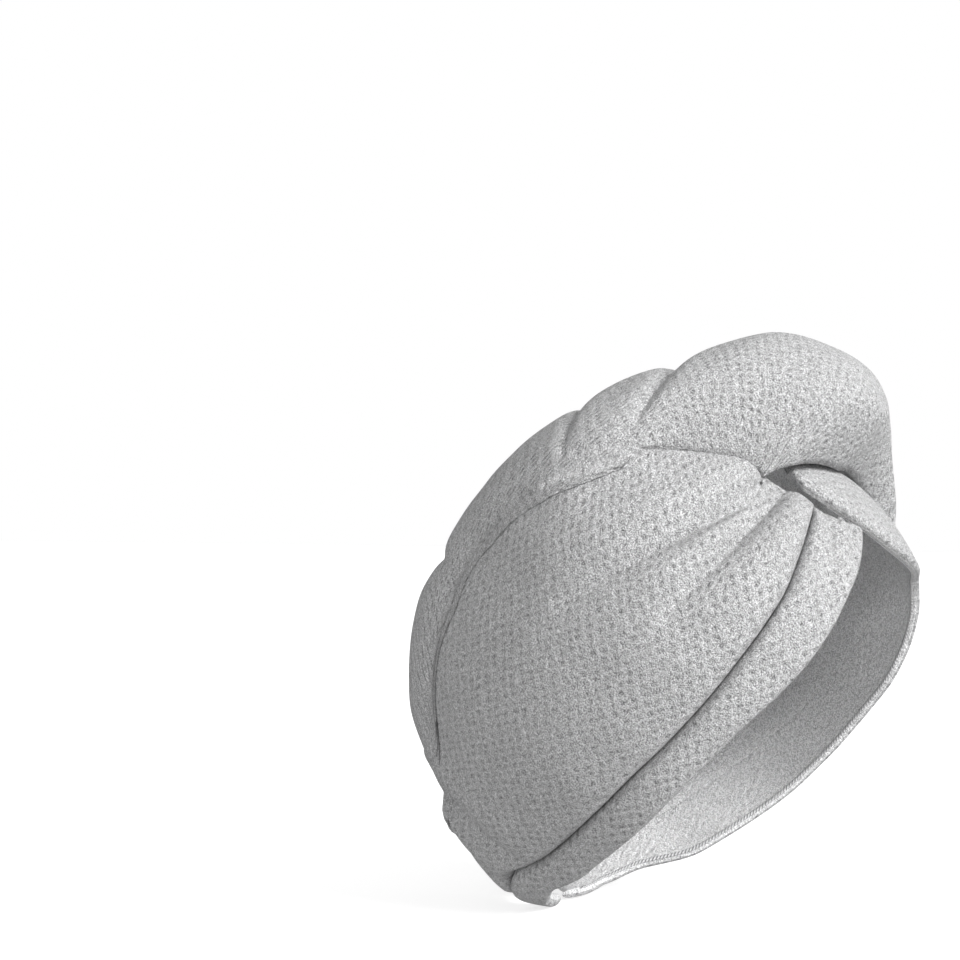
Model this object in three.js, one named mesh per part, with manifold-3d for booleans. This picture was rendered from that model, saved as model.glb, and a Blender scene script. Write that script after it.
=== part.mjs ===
// Hair turban towel in the form it has on a head. Millimetres, +Z up, face opening toward -Y, the wearer's left at +X,
// origin where the crown rests on the top of the head.
// The hood is a rounded form between two poles, the nape and the brow. A place on it is a share along the line from
// nape to brow, an angle round that line (-90 under the face opening, 0 at the ear, 90 on the centre seam) and a height
// over the head. Both halves use the same angles, mirrored.
import * as THREE from "three";
import Module from "manifold-3d";

const HOOD_RADIUS = 98;
const HOOD_LENGTH = 236.4;
const HOOD_TILT = 32.2;
const CLOTH = 3;
const LIFT = 10.5;
const RIGHT_ROLL = 7;
const LEFT_ROLL = 4.5;
const REST = 0.4;
const GAP = 0.4;
const PILLOW = 12;
const BUTTON_DIAMETER = 18;
const BUTTON_THICK = 3;

const rad = Math.PI / 180;
const AXIS = new THREE.Vector3(0, -Math.sin(HOOD_TILT * rad), Math.cos(HOOD_TILT * rad));
const UP = new THREE.Vector3(0, AXIS.z, -AXIS.y);
// The middle of the head hangs below the origin by so much of the hood's length and radius that the crown rests there.
const MIDDLE = new THREE.Vector3(0, -0.054 * HOOD_RADIUS, -(0.2953 * HOOD_LENGTH + 0.41 * HOOD_RADIUS));
const NAPE = MIDDLE.clone().addScaledVector(AXIS, -0.55 * HOOD_LENGTH);
const BROW = MIDDLE.clone().addScaledVector(AXIS, 0.45 * HOOD_LENGTH);
const TAIL_CENTRE = MIDDLE.clone().add(new THREE.Vector3(0, 0.105, 0.194).multiplyScalar(HOOD_RADIUS));

// The form by stations: its real place from nape to brow, radius as a share of HOOD_RADIUS, and its shares sideways,
// over and under.
const FORM = rows(["along", "place", "radius", "side", "over", "under"], [
  [0, 0.022, 0, 0.9, 1, 0.35],
  [0.03, 0.046, 0.245, 0.9, 1.02, 0.42],
  [0.1, 0.108, 0.44, 0.92, 1.05, 0.74],
  [0.22, 0.22, 0.67, 0.93, 1.05, 1],
  [0.43, 0.43, 0.94, 0.93, 1, 1],
  [0.55, 0.55, 0.99, 0.93, 0.97, 1],
  [0.66, 0.66, 1, 0.93, 0.96, 1],
  [0.74, 0.74, 0.985, 0.92, 0.96, 1],
  [0.82, 0.82, 0.93, 0.89, 0.96, 1],
  [0.89, 0.89, 0.8, 0.84, 0.96, 1],
  [0.94, 0.94, 0.63, 0.76, 0.96, 1],
  [0.975, 0.975, 0.43, 0.68, 0.96, 1],
  [1, 1, 0, 0.6, 0.96, 1],
]);

// Borders as lines on the form: run is the share of the border from the nape to its front end.
const BORDER_COLUMNS = ["run", "along", "angle"];
const RIM = rows(BORDER_COLUMNS, [
  [0, 0.038, -78],
  [0.05, 0.056, -50],
  [0.1, 0.08, -35],
  [0.17, 0.139, -29],
  [0.27, 0.238, -31],
  [0.37, 0.329, -32.6],
  [0.47, 0.428, -34.1],
  [0.57, 0.527, -36.3],
  [0.66, 0.618, -39.2],
  [0.74, 0.702, -42.9],
  [0.82, 0.774, -45.8],
  [0.89, 0.847, -48.7],
  [0.95, 0.911, -53.9],
  [1, 0.955, -59],
]);
const CREASE = rows(BORDER_COLUMNS, [
  [0, 0.002, 0],
  [0.05, 0.04, 0],
  [0.1, 0.094, -3.4],
  [0.17, 0.15, -11.5],
  [0.27, 0.242, -17.3],
  [0.37, 0.34, -20.6],
  [0.47, 0.44, -23.2],
  [0.57, 0.54, -26.3],
  [0.66, 0.64, -28.8],
  [0.74, 0.725, -30.4],
  [0.82, 0.79, -31.6],
  [0.89, 0.85, -32.4],
  [0.95, 0.9, -32.4],
  [1, 0.936, -33],
]);
// The left side has its own border, which runs on across the brow to the twist on the right of it.
const LEFT_RIM = rows(BORDER_COLUMNS, [
  [0, 0.038, -80],
  [0.04, 0.056, -54],
  [0.08, 0.08, -40],
  [0.136, 0.139, -39],
  [0.216, 0.238, -42],
  [0.296, 0.329, -42],
  [0.376, 0.428, -42.5],
  [0.456, 0.527, -44],
  [0.528, 0.618, -46],
  [0.592, 0.702, -48],
  [0.656, 0.774, -48],
  [0.712, 0.84, -46.5],
  [0.76, 0.892, -46],
  [0.8, 0.935, -55],
  [0.87, 0.958, -92],
  [0.94, 0.9615, -121],
  [1, 0.947, -158],
]);
const LEFT_SIDE_CREASE = rows(BORDER_COLUMNS, [
  [0, 0.002, 0],
  [0.05, 0.04, 0],
  [0.1, 0.094, -3.4],
  [0.17, 0.15, -11.5],
  [0.27, 0.242, -17.3],
  [0.37, 0.34, -20.6],
  [0.47, 0.44, -23.2],
  [0.57, 0.54, -26.3],
  [0.66, 0.64, -28.8],
  [0.74, 0.725, -30.4],
  [0.82, 0.79, -31.6],
  [0.89, 0.85, -30],
  [0.95, 0.9, -25],
  [1, 0.936, -18],
]);
const LEFT_CREASE = rows(BORDER_COLUMNS, [
  [0, 0.002, 0],
  [0.04, 0.04, 0],
  [0.08, 0.094, -3.4],
  [0.136, 0.15, -11.5],
  [0.216, 0.242, -17.3],
  [0.296, 0.34, -20.6],
  [0.376, 0.44, -23.2],
  [0.456, 0.54, -26.3],
  [0.528, 0.64, -28.8],
  [0.592, 0.725, -30.4],
  [0.656, 0.79, -31.6],
  [0.712, 0.85, -30],
  [0.76, 0.9, -25],
  [0.8, 0.936, -18],
  [0.84, 0.965, -20],
  [0.88, 0.988, -45],
  [0.92, 0.994, -95],
  [0.96, 0.987, -140],
  [1, 0.96, -172],
]);
// Where the rolled upper edge of each panel runs beside the tail, and how far the cloth stands off the head, as a
// share of LIFT.
const UPPER_EDGE = rows(["along", "angle"], [
  [0, 62],
  [0.1, 50],
  [0.19, 50],
  [0.3, 47.5],
  [0.47, 49],
  [0.58, 51],
  [0.7, 46.4],
  [0.8, 37.2],
  [0.866, 26],
  [0.9, 17],
  [0.934, 4],
  [0.95, -12],
  [1, -40],
]);
const STAND_OFF = rows(["along", "height"], [
  [0, 0.476],
  [0.06, 0.714],
  [0.14, 0.81],
  [0.22, 0.905],
  [0.5, 1],
  [0.8, 1],
  [0.9, 1.048],
  [0.94, 1],
  [1, 0.571],
]);
// Folds pressed into a panel: a line through three places, depth at both ends as a share of LIFT and width as a share
// of PILLOW.
const FOLD_COLUMNS = ["name", "along1", "angle1", "along2", "angle2", "along3", "angle3", "deep1", "deep3", "wide"];
const RIGHT_FOLDS = rows(FOLD_COLUMNS, [
  ["twist_lower", 0.74, -11.5, 0.85, -16, 0.945, -18.5, 0.1, 0.6, 0.4],
  ["twist_upper", 0.64, 11, 0.8, -1.5, 0.945, -14.5, 0.1, 0.45, 0.5],
  ["nape_roll", 0.17, 48, 0.15, 22, 0.17, -6, 0.48, 0.1, 0.5],
  ["nape_pucker", 0.08, 36, 0.1, 18, 0.17, 8, 0.24, 0.05, 0.4],
]);
const LEFT_FOLDS = rows(FOLD_COLUMNS, [
  ["twist_lower", 0.62, -8, 0.78, -14, 0.945, -19, 0.05, 0.48, 0.5],
  ["twist_upper", 0.7, 22, 0.82, 6, 0.945, -12, 0.05, 0.43, 0.5],
  ["nape_roll", 0.15, 50, 0.14, 24, 0.19, -4, 0.38, 0.1, 0.5],
]);

// The tail in a fan of sections about TAIL_CENTRE: turn is the angle of a section in the middle (0 forward, 90 up, 180
// back), right and left are half widths as shares of HOOD_RADIUS, lean is how many degrees the section's right end
// turns back and fall how many its left end turns forward.
const TAIL = rows(["turn", "right", "left", "lean", "fall"], [
  [35.5, 0.531, 0.633, 4.5, 26],
  [39, 0.551, 0.653, 7.5, 26],
  [43, 0.571, 0.673, 8, 25],
  [48, 0.602, 0.684, 8.8, 23],
  [55, 0.663, 0.694, 9.1, 20],
  [62, 0.724, 0.724, 8.5, 16],
  [69, 0.765, 0.765, 7.5, 12],
  [80, 0.796, 0.796, 4.7, 6],
  [93, 0.796, 0.796, 2.3, 3],
  [107, 0.776, 0.776, 0, 0],
  [121, 0.745, 0.745, 0, 0],
  [137, 0.714, 0.714, 0, 0],
  [152, 0.684, 0.684, 0, 0],
  [166, 0.684, 0.684, 0, 0],
  [175, 0.694, 0.694, 0, 0],
  [189, 0.663, 0.663, 0, 0],
  [197, 0.633, 0.633, 0, 0],
  [205, 0.592, 0.592, 0, 0],
  [216, 0.531, 0.531, 0, 0],
  [224, 0.469, 0.469, 0, 0],
  [232, 0.367, 0.367, 0, 0],
]);
// Radii of the tail's crest and foot by the angle itself, as shares of HOOD_RADIUS.
const TAIL_RADII = rows(["angle", "crest", "foot"], [
  [5, 1.163, 0.878],
  [12, 1.194, 0.878],
  [20, 1.204, 0.888],
  [28, 1.245, 0.898],
  [35, 1.311, 0.898],
  [38.5, 1.372, 0.898],
  [43, 1.444, 0.888],
  [48, 1.48, 0.857],
  [55, 1.459, 0.806],
  [62, 1.408, 0.755],
  [69, 1.296, 0.714],
  [80, 1.143, 0.663],
  [93, 1.041, 0.622],
  [107, 0.959, 0.592],
  [121, 0.918, 0.571],
  [137, 0.898, 0.571],
  [152, 0.918, 0.592],
  [166, 0.959, 0.612],
  [175, 1.01, 0.633],
  [189, 1.082, 0.714],
  [197, 1.133, 0.776],
  [205, 1.184, 0.837],
  [216, 1.214, 0.939],
  [224, 1.245, 1.041],
  [232, 1.245, 1.143],
]);
// Valleys between the tail's turns: the angle that each lies at, depth as a share of HOOD_RADIUS, half width in degrees
// and how many degrees it slants over one hood radius to the left.
const TAIL_TURNS = rows(["name", "at", "deep", "wide", "slant"], [
  ["front_valley", 81, 0.066, 4, -10],
  ["middle_valley", 107, 0.036, 3.5, -10],
  ["back_valley", 166, 0.026, 4, -10],
]);

function rows(columns, values) {
  return values.map((row) => Object.fromEntries(columns.map((name, i) => [name, row[i]])));
}

// Smooth curve through a table without overshoot.
function curve(xs, ys) {
  const n = xs.length;
  const slope = [];
  for (let i = 0; i < n - 1; i++) slope.push((ys[i + 1] - ys[i]) / (xs[i + 1] - xs[i]));
  const tangent = xs.map((_, i) => {
    if (i === 0) return slope[0];
    if (i === n - 1) return slope[n - 2];
    const a = slope[i - 1], b = slope[i];
    return a * b <= 0 ? 0 : (2 * a * b) / (a + b);
  });
  return (x) => {
    if (x <= xs[0]) return ys[0];
    if (x >= xs[n - 1]) return ys[n - 1];
    let i = 0;
    while (x > xs[i + 1]) i++;
    const w = xs[i + 1] - xs[i], s = (x - xs[i]) / w, q = s * s, c = q * s;
    return (
      ys[i] * (2 * c - 3 * q + 1) + tangent[i] * w * (c - 2 * q + s) +
      ys[i + 1] * (3 * q - 2 * c) + tangent[i + 1] * w * (c - q)
    );
  };
}
const column = (table, key, name) => curve(table.map((r) => r[key]), table.map((r) => r[name]));

const chord = BROW.clone().sub(NAPE);
const shape = {
  place: column(FORM, "along", "place"),
  radius: column(FORM, "along", "radius"), side: column(FORM, "along", "side"),
  over: column(FORM, "along", "over"), under: column(FORM, "along", "under"),
};

function onHead(along, angle, half) {
  const r = HOOD_RADIUS * shape.radius(along);
  const up = (Math.sin(angle * rad) > 0 ? shape.over(along) : shape.under(along)) * r * Math.sin(angle * rad);
  const p = NAPE.clone().addScaledVector(chord, shape.place(along)).addScaledVector(UP, up);
  p.x += -half * shape.side(along) * r * Math.cos(angle * rad);
  return p;
}

function place(along, angle, height, half) {
  const s = Math.min(Math.max(along, 0.002), 0.998), e = 0.001;
  const a = onHead(s + e, angle, half).sub(onHead(s - e, angle, half));
  const b = onHead(s, angle + 0.1, half).sub(onHead(s, angle - 0.1, half));
  const n = a.cross(b).normalize();
  const p = onHead(along, angle, half);
  const middle = NAPE.clone().addScaledVector(chord, 0.55);
  if (n.dot(p.clone().sub(middle)) < 0) n.negate();
  p.addScaledVector(n, height);
  p.x -= half * GAP * 0.5;
  return p;
}

// Closed body of these faces, all turned outward.
function outward(points, faces) {
  let volume = 0;
  for (const [a, b, c] of faces) volume += points[a].dot(points[b].clone().cross(points[c]));
  const geometry = new THREE.BufferGeometry();
  geometry.setAttribute("position", new THREE.Float32BufferAttribute(points.flatMap((p) => [p.x, p.y, p.z]), 3));
  geometry.setIndex(faces.flatMap(([a, b, c]) => (volume < 0 ? [a, c, b] : [a, b, c])));
  return geometry;
}

// Closed body from sections: each section is an outer line and an inner line that share both end points.
function closedBody(sections) {
  const points = [], faces = [], n = sections[0].outer.length, ring = 2 * n - 2;
  for (const { outer, inner } of sections) {
    points.push(...outer);
    for (let j = n - 2; j > 0; j--) points.push(inner[j]);
  }
  for (let i = 0; i < sections.length - 1; i++)
    for (let j = 0; j < ring; j++) {
      const k = (j + 1) % ring, a = i * ring, b = a + ring;
      faces.push([a + j, b + j, b + k], [a + j, b + k, a + k]);
    }
  const close = (base, turn) => {
    const at = (j) => base + j, back = (j) => (j === 0 || j === n - 1 ? base + j : base + ring - j);
    for (let j = 0; j < n - 1; j++) {
      const quad = [at(j), at(j + 1), back(j + 1), back(j)];
      const add = (a, b, c) => { if (a !== b && b !== c && a !== c) faces.push(turn ? [a, c, b] : [a, b, c]); };
      add(quad[0], quad[1], quad[2]);
      add(quad[0], quad[2], quad[3]);
    }
  };
  close(0, false);
  close((sections.length - 1) * ring, true);
  return outward(points, faces);
}

// Distances across a strip where its lines lie: close together at both borders and, on a panel, at its rolled edge.
function stations(clear, across, share, spot, turn, inset) {
  const spread = (from, to, n) => Array.from({ length: n }, (_, k) => from + ((to - from) * (k + 1)) / (n + 1));
  const rim = Math.min(0.9, clear / 8), round = Math.min(3.2, clear / 5);
  if (!share) return [0, rim, round, ...spread(round, clear - round, across - 6), clear - round, clear - rim, clear];
  let at = 0;
  for (let k = 0; k <= 200; k++) {
    const d = (clear * k) / 200, v = share(d + inset);
    if (turn(v) < upperEdge(spot(v))) at = d;
  }
  at = Math.min(Math.max(at, clear * 0.3), clear * 0.85);
  const roll = [-6, -1, 2, 4, 5.5].map((k) => at + k * Math.min(1, clear / 60));
  const first = Math.round((across - 9) * 0.68);
  return [
    0, rim, ...spread(rim, roll[0], first), ...roll, ...spread(roll[4], clear - rim, across - 9 - first), clear - rim, clear,
  ];
}

// Strip of cloth between two borders. grow makes the same strip larger all round, and deep below it.
function strip({ lower, upper, half, count, across, heights, edge = false, grow = 0 }) {
  const borders = [lower, upper].map((b) => ({ along: column(b, "run", "along"), angle: column(b, "run", "angle") }));
  const sections = [];
  for (let i = 0; i < count; i++) {
    const run = i / (count - 1), end = i === 0 ? -1 : i === count - 1 ? 1 : 0;
    const spot = (v) => borders[0].along(run) + (borders[1].along(run) - borders[0].along(run)) * v;
    const turn = (v) => borders[0].angle(run) + (borders[1].angle(run) - borders[0].angle(run)) * v;
    const steps = 60, length = [0];
    let last = onHead(spot(0), turn(0), half);
    for (let k = 1; k <= steps; k++) {
      const next = onHead(spot(k / steps), turn(k / steps), half);
      length.push(length[k - 1] + next.distanceTo(last));
      last = next;
    }
    const wide = length[steps], share = curve(length, length.map((_, k) => k / steps));
    const inset = GAP / 2, clear = Math.max(wide - 2 * inset, 0.5);
    const columns = stations(clear, across, edge ? share : null, spot, turn, inset);
    const outer = [], inner = [];
    for (let j = 0; j < across; j++) {
      const d = inset + columns[j];
      const beyond = (j === 0 ? -2 * grow : j === across - 1 ? 2 * grow : 0) / wide;
      const v = share(d) + beyond;
      const near = Math.max(Math.min(d - inset, inset + clear - d), 0);
      const h = heights(spot(v), turn(v), Math.max(d - inset, 0), Math.max(inset + clear - d, 0), near);
      const round = Math.sqrt(1 - Math.pow(1 - Math.min(near / (0.5 * (h[0] - h[1]) + 0.01), 1), 2));
      const mid = (h[0] + h[1]) / 2, wall = ((h[0] - h[1]) / 2) * round;
      const along = spot(v) + (end * grow) / HOOD_LENGTH;
      outer.push(place(along, turn(v), mid + wall + grow, half));
      inner.push(place(along, turn(v), grow > 0 && j > 0 && j < across - 1 ? -10 : mid - wall, half));
    }
    sections.push({ outer, inner });
  }
  return closedBody(sections);
}

// Shortest way from a place to a fold line, in millimetres, and the share of the line where that is.
function fromFold(fold, along, angle) {
  const r = HOOD_RADIUS * shape.radius(along) * rad;
  let best = Infinity, at = 0;
  for (let k = 0; k <= 24; k++) {
    const s = k / 24, q = 1 - s;
    const t = q * q * fold.along1 + 2 * q * s * fold.along2 + s * s * fold.along3;
    const a = q * q * fold.angle1 + 2 * q * s * fold.angle2 + s * s * fold.angle3;
    const d = Math.hypot((t - along) * HOOD_LENGTH, (a - angle) * r);
    if (d < best) { best = d; at = s; }
  }
  return [best, at];
}

const standOff = column(STAND_OFF, "along", "height");
const upperEdge = column(UPPER_EDGE, "along", "angle");
const ease = (x) => { const c = Math.min(Math.max(x, 0), 1); return c * c * (3 - 2 * c); };
const dome = (x) => Math.sqrt(1 - Math.pow(1 - Math.min(Math.max(x, 0), 1), 2));

function panelHeights(folds) {
  return (along, angle, fromLower) => {
    const r = HOOD_RADIUS * shape.radius(along) * rad;
    const low = REST + CLOTH;
    const toTail = (upperEdge(along) - angle) * r + 5;
    const toTwist = (0.95 - along) * HOOD_LENGTH;
    let rise = (LIFT * standOff(along) - low) * dome(0.25 + fromLower / PILLOW) * dome(toTail / 7) * dome(0.2 + toTwist / 9);
    for (const fold of folds) {
      const [d, s] = fromFold(fold, along, angle);
      const deep = LIFT * (fold.deep1 + (fold.deep3 - fold.deep1) * s);
      rise -= deep * Math.exp(-Math.pow(d / (fold.wide * PILLOW), 2)) * ease(rise / 4);
    }
    const outer = low + Math.max(rise, 0);
    const rolled = Math.exp(-Math.pow(Math.max(toTail, -4) / 7, 2)) * ease(rise / 4);
    return [outer, outer - CLOTH - rolled * Math.max(outer - low, 0)];
  };
}

function brimHeights(roll) {
  return (along, angle, fromLower, fromUpper) => {
    const thick = CLOTH + (roll - CLOTH) * ease(0.3 + along / 0.15);
    return [REST + CLOTH + (thick - CLOTH) * dome(0.35 + fromLower / 9) * dome(0.2 + fromUpper / 9), REST];
  };
}

const seam = CREASE.map((r) => ({ run: r.run, along: r.along + 0.012 * ease(r.along), angle: 90 }));
const STRIPS = {
  right_panel: { lower: CREASE, upper: seam, half: 1, count: 34, across: 28, heights: panelHeights(RIGHT_FOLDS), edge: true },
  left_panel: { lower: LEFT_SIDE_CREASE, upper: seam, half: -1, count: 24, across: 18, heights: panelHeights(LEFT_FOLDS), edge: true },
  right_brim: { lower: RIM, upper: CREASE, half: 1, count: 28, across: 8, heights: brimHeights(RIGHT_ROLL) },
  left_brim: { lower: LEFT_RIM, upper: LEFT_CREASE, half: -1, count: 32, across: 8, heights: brimHeights(LEFT_ROLL) },
};

// The wound tail as a full bundle, before the hood is taken out of it. Its front end is rounded over a few degrees.
function tailBundle() {
  const col = Object.fromEntries(["right", "left", "lean", "fall"].map((k) => [k, column(TAIL, "turn", k)]));
  const crest = column(TAIL_RADII, "angle", "crest"), foot = column(TAIL_RADII, "angle", "foot");
  const first = TAIL[0].turn, last = TAIL[TAIL.length - 1].turn, count = 40, across = 20;
  const sections = [];
  for (let i = 0; i < count; i++) {
    const turn = first + (last - first) * Math.pow(i / (count - 1), 1.25);
    const outer = [], inner = [];
    for (let j = 0; j < across; j++) {
      const s = -Math.cos((Math.PI * j) / (across - 1));
      const x = HOOD_RADIUS * s * (s < 0 ? col.right(turn) : col.left(turn));
      const angle = turn - (s < 0 ? col.lean(turn) * s : col.fall(turn) * s * s * s);
      const bulge = Math.sqrt(Math.max(1 - s * s, 0)) * dome(0.3 + (turn - first) / 6);
      let radius = foot(angle) + (crest(angle) - foot(angle)) * bulge;
      for (const valley of TAIL_TURNS) {
        const off = (turn - valley.at - (valley.slant * x) / HOOD_RADIUS) / valley.wide;
        radius -= valley.deep * Math.exp(-off * off) * Math.min(bulge * 1.5, 1);
      }
      const at = (r) => new THREE.Vector3(
        x, -r * Math.cos(angle * rad), r * Math.sin(angle * rad)).multiply(new THREE.Vector3(1, HOOD_RADIUS, HOOD_RADIUS));
      outer.push(at(radius).add(TAIL_CENTRE));
      inner.push(at(j === 0 || j === across - 1 ? radius : foot(angle) - 0.14).add(TAIL_CENTRE));
    }
    sections.push({ outer, inner });
  }
  return closedBody(sections);
}

// The head side of the hood as one closed form.
function headForm() {
  const points = [], faces = [], stations = 30, around = 48;
  for (let i = 0; i <= stations; i++) {
    const along = 0.5 - 0.5 * Math.cos((Math.PI * i) / stations);
    if (i === 0 || i === stations) { points.push(place(along, 0, REST, 0)); continue; }
    for (let j = 0; j < around; j++) {
      const angle = -90 + (360 * j) / around;
      points.push(angle <= 90 ? place(along, angle, REST, 1) : place(along, 180 - angle, REST, -1));
    }
  }
  const end = points.length - 1, row = (i, j) => 1 + (i - 1) * around + (j % around);
  for (let j = 0; j < around; j++) {
    faces.push([0, row(1, j + 1), row(1, j)], [end, row(stations - 1, j), row(stations - 1, j + 1)]);
    for (let i = 1; i < stations - 1; i++) {
      faces.push([row(i, j), row(i, j + 1), row(i + 1, j + 1)], [row(i, j), row(i + 1, j + 1), row(i + 1, j)]);
    }
  }
  return outward(points, faces);
}

const { Manifold, Mesh } = await Module().then((wasm) => { wasm.setup(); return wasm; });

function toSolid(geometry) {
  const solid = new Manifold(new Mesh({
    numProp: 3, vertProperties: new Float32Array(geometry.attributes.position.array),
    triVerts: new Uint32Array(geometry.index.array),
  }));
  return solid;
}

function toGeometry(solid) {
  const mesh = solid.getMesh();
  const geometry = new THREE.BufferGeometry();
  geometry.setAttribute("position", new THREE.BufferAttribute(new Float32Array(mesh.vertProperties), 3));
  geometry.setIndex(new THREE.BufferAttribute(new Uint32Array(mesh.triVerts), 1));
  return geometry;
}

// The button lies on the centre seam at the back. below lengthens it toward the head.
function button(grow, below) {
  const r = BUTTON_DIAMETER / 2 + grow, thick = BUTTON_THICK + grow + below;
  const seat = place(0.3, 90, REST + CLOTH + 1.2, 1), out = place(0.3, 90, REST + CLOTH + 20, 1).sub(seat).normalize();
  const turn = new THREE.Matrix4().makeRotationFromQuaternion(
    new THREE.Quaternion().setFromUnitVectors(new THREE.Vector3(0, 0, 1), out));
  turn.setPosition(seat.clone().addScaledVector(out, -below).setX(0));
  return Manifold.cylinder(thick, r, r, 24).transform(turn.elements);
}

const group = new THREE.Group();
function add(name, geometry, colour) {
  const mesh = new THREE.Mesh(geometry, new THREE.MeshStandardMaterial({ color: colour, roughness: 0.95 }));
  mesh.name = name;
  group.add(mesh);
}

let tail = toSolid(tailBundle()).subtract(toSolid(headForm()));
for (const [name, spec] of Object.entries(STRIPS)) {
  const piece = strip(spec);
  add(name, piece, 0xc4c4c4);
  tail = tail.subtract(toSolid(strip({ ...spec, grow: GAP }))).subtract(toSolid(piece));
}
tail = tail.subtract(button(GAP, 3));
add("nape_button", toGeometry(button(0, 0)), 0xd8d8d8);
const kept = tail.decompose().sort((a, b) => b.volume() - a.volume())[0];
add("tail", toGeometry(kept), 0xc4c4c4);

export default group;
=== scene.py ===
"""Hair turban towel in pale grey waffle terry, in the form that it has on a head.

Lengths in the tables are millimetres, and each mesh is written in metres. +Z is up, the face opening looks toward -Y
and the wearer's left is +X. The hood is a rounded form between two poles, the nape and the brow. A place on it is a
share along the line from nape to brow, an angle round that line (-90 under the face opening, 0 at the ear, 90 on the
centre seam) and a height over the head.
"""
import logging
import math
from dataclasses import dataclass
from enum import Enum

import bpy
import numpy as np
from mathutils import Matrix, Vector


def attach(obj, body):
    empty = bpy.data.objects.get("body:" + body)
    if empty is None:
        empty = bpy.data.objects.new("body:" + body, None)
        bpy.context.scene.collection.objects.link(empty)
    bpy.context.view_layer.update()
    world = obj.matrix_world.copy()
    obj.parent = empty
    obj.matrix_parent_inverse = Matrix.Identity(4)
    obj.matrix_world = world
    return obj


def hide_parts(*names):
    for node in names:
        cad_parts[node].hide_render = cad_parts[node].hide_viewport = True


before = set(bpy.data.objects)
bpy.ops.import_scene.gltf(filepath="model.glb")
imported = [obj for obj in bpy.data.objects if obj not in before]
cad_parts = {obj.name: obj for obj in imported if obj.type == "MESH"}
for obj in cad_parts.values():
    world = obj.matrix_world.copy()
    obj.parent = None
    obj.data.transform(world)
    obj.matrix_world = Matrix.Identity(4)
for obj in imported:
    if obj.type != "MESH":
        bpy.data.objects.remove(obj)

LOG = logging.getLogger("hair_turban_towel")
MM = 0.001


class Side(Enum):
    """The half of the hood: the wearer's right is at -X."""

    RIGHT = 1
    LEFT = -1


class Hold(Enum):
    """How a sheet of cloth is kept in its form."""

    GATHERED = "gathered"
    FOLDED = "folded"


@dataclass(frozen=True)
class Line:
    """Smooth line through a table, without overshoot: a cubic between each two rows, whose slope at a row is the
    harmonic mean of the slopes on both sides, and 0 where these differ in sign."""

    at: tuple
    value: tuple

    def __call__(self, x: np.ndarray) -> np.ndarray:
        """The line's value at each x.

        Args:
            x: places, held to the table's ends.
        Returns:
            The values, in the shape of x.
        """
        xs, ys = np.array(self.at, float), np.array(self.value, float)
        wide = np.diff(xs)
        slope = np.diff(ys) / wide
        a, b = slope[:-1], slope[1:]
        total = np.where(a + b == 0, 1, a + b)
        middle = np.where(a * b <= 0, 0, 2 * a * b / total)
        tangent = np.concatenate([slope[:1], middle, slope[-1:]])
        x = np.clip(np.asarray(x, float), xs[0], xs[-1])
        i = np.clip(np.searchsorted(xs, x, side="right") - 1, 0, len(xs) - 2)
        s = (x - xs[i]) / wide[i]
        return (
            ys[i] * (2 * s**3 - 3 * s**2 + 1)
            + tangent[i] * wide[i] * (s**3 - 2 * s**2 + s)
            + ys[i + 1] * (3 * s**2 - 2 * s**3)
            + tangent[i + 1] * wide[i] * (s**3 - s**2)
        )


def ease(x: np.ndarray) -> np.ndarray:
    """0 below 0, 1 above 1, and a smooth step between them."""
    c = np.clip(x, 0, 1)
    return c * c * (3 - 2 * c)


def dome(x: np.ndarray) -> np.ndarray:
    """Quarter of a circle: 0 at 0 with an upright start, 1 from 1 on."""
    return np.sqrt(1 - (1 - np.clip(x, 0, 1)) ** 2)


def ripple(p: np.ndarray, size: float, seed: int) -> np.ndarray:
    """Soft uneven cloth: the mean of six sine waves in set directions.

    Args:
        p: points in millimetres.
        size: length of the waves in millimetres.
        seed: picks the directions.
    Returns:
        Values from about -1 to 1.
    """
    dice = np.random.default_rng(seed)
    way = dice.normal(size=(6, 3))
    way /= np.linalg.norm(way, axis=1, keepdims=True)
    long = size * dice.uniform(0.7, 1.5, 6)
    start = dice.uniform(0, 2 * np.pi, 6)
    return np.sin(np.einsum("...k,jk->...j", p, way) * 2 * np.pi / long + start).mean(-1) * 1.8


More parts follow.
